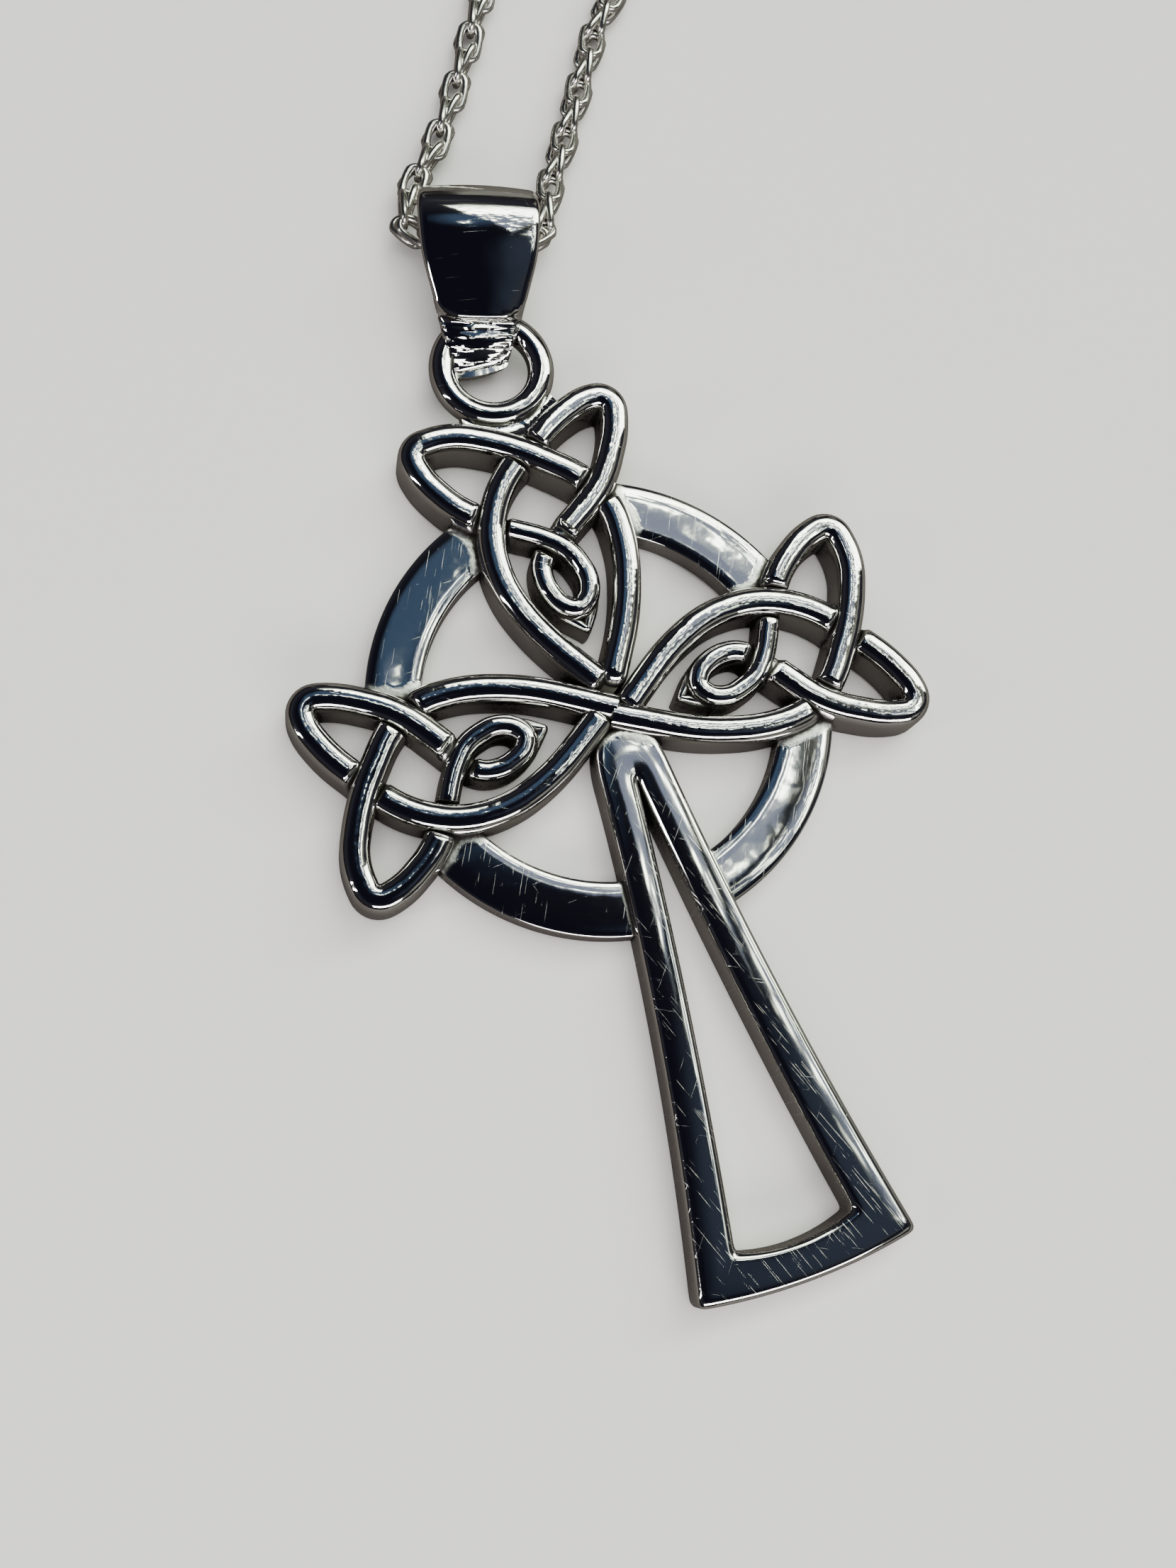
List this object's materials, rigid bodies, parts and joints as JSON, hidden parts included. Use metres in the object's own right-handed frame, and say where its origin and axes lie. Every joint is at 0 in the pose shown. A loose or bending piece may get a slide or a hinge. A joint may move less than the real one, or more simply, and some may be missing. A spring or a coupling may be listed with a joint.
{
  "type": "cross pendant",
  "caption": "Cast Celtic knotwork cross pendant with a ring and an open tapered shaft, on a folded bail and a fine rope-like neck chain.",
  "frame": {"origin": "on the flat back of the cross, under the point where its arms cross", "axes": "+Z out of the front of the cross, +Y from the foot of its shaft to its bail, lying on its back"},
  "size_m": [0.14, 0.2099, 0.0043],
  "materials": {
    "cross_silver": "polished sterling silver, darkened in the crevices",
    "bail_silver": "polished sterling silver",
    "chain_silver": "polished sterling silver",
    "clasp_silver": "polished sterling silver"
  },
  "bodies": {
    "root": {"cross": "cross_silver", "bail": "bail_silver", "chain": "chain_silver", "clasp": "clasp_silver"}
  },
  "joints": []
}
